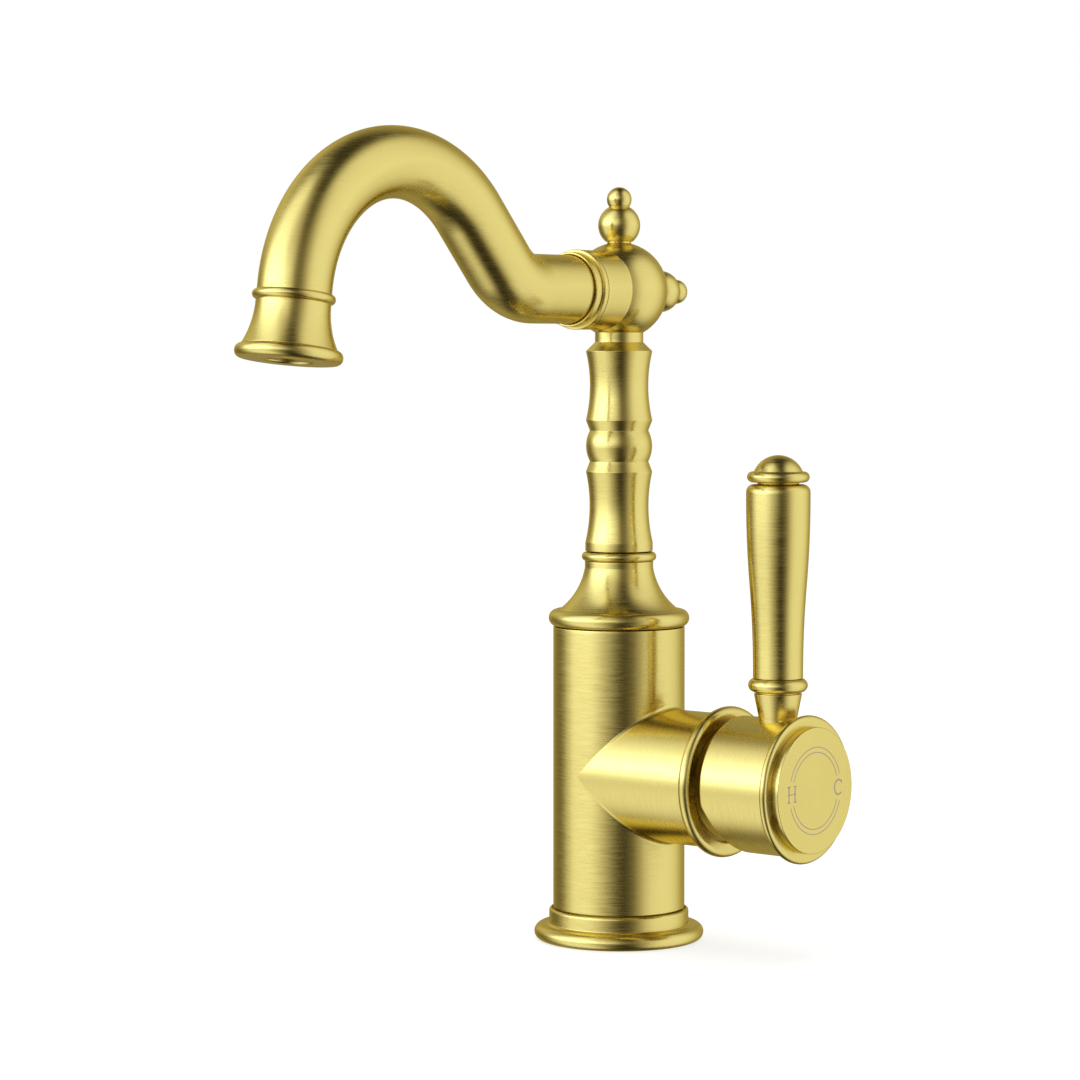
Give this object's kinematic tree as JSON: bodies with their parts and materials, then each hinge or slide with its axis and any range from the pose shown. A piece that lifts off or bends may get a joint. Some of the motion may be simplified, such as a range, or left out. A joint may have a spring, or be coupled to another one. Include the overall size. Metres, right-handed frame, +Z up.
{
  "type": "bathroom mixer faucet",
  "caption": "Deck-mounted basin mixer: a turned column carries a swivelling swan-neck spout with ball finials, and a side boss has a lever that tilts for flow and turns for temperature.",
  "frame": {"origin": "centre of the base on the deck", "axes": "+Z up along the column, -Y along the spout towards the outlet, +X along the boss towards the handle"},
  "size_m": [0.1136, 0.2159, 0.2773],
  "materials": {
    "satin_gold": "brushed satin",
    "plain_brass": "turned",
    "spring_steel": "satin",
    "white_ceramic": "lapped",
    "white_plastic": "moulded",
    "grey_plastic": "moulded",
    "black_rubber": "matt"
  },
  "bodies": {
    "body": {"base_flange": "satin_gold", "base_seal": "black_rubber", "main_body": "satin_gold", "bell_cap": "satin_gold", "bell_cap_o_ring": "black_rubber", "swivel_bush": "white_plastic", "boss_ring": "satin_gold", "cartridge_nut": "satin_gold", "cartridge_casing": "white_plastic", "cartridge_base": "white_plastic", "cartridge_seals": "black_rubber", "fixed_disc": "white_ceramic"},
    "spout": {"swivel_o_rings": "black_rubber", "swivel_clip": "spring_steel", "turned_column": "satin_gold", "ball_tee": "satin_gold", "top_finial": "satin_gold", "rear_finial": "satin_gold", "spout_nut": "satin_gold", "spout_tube": "satin_gold", "spout_o_ring": "black_rubber", "outlet_bell": "satin_gold", "aerator_housing": "grey_plastic", "aerator_gasket": "black_rubber", "aerator_screen": "spring_steel"},
    "rotor": {"cartridge_rotor": "white_plastic", "stem_pin": "spring_steel"},
    "lever": {"cartridge_stem": "plain_brass", "handle_hub": "satin_gold", "set_screw": "spring_steel", "face_cap": "satin_gold", "lever_stem": "satin_gold", "lever_grip": "satin_gold", "lever_end_cap": "satin_gold"},
    "flow_disc": {"moving_disc": "white_ceramic", "disc_carrier": "white_plastic"}
  },
  "joints": [
    {"name": "spout_swivel", "type": "hinge", "parent": "body", "child": "spout", "pos_m": [0, 0, 0.1356], "axis": [0, 0, 1], "continuous": true},
    {"name": "lever_turn", "type": "hinge", "parent": "body", "child": "rotor", "pos_m": [0.044, 0, 0.0586], "axis": [1, 0, 0], "range_deg": [-50, 50]},
    {"name": "lever_tilt", "type": "hinge", "parent": "rotor", "child": "lever", "pos_m": [0.044, 0, 0.0586], "axis": [0, 1, 0], "range_deg": [0, 22]},
    {"name": "disc_slide", "type": "slide", "parent": "rotor", "child": "flow_disc", "axis": [0, 0, 1], "range_m": [0, 0.0045]}
  ],
  "couplings": [
    {"joint": "disc_slide", "follows": "lever_tilt", "m_per_rad": 0.0117}
  ]
}
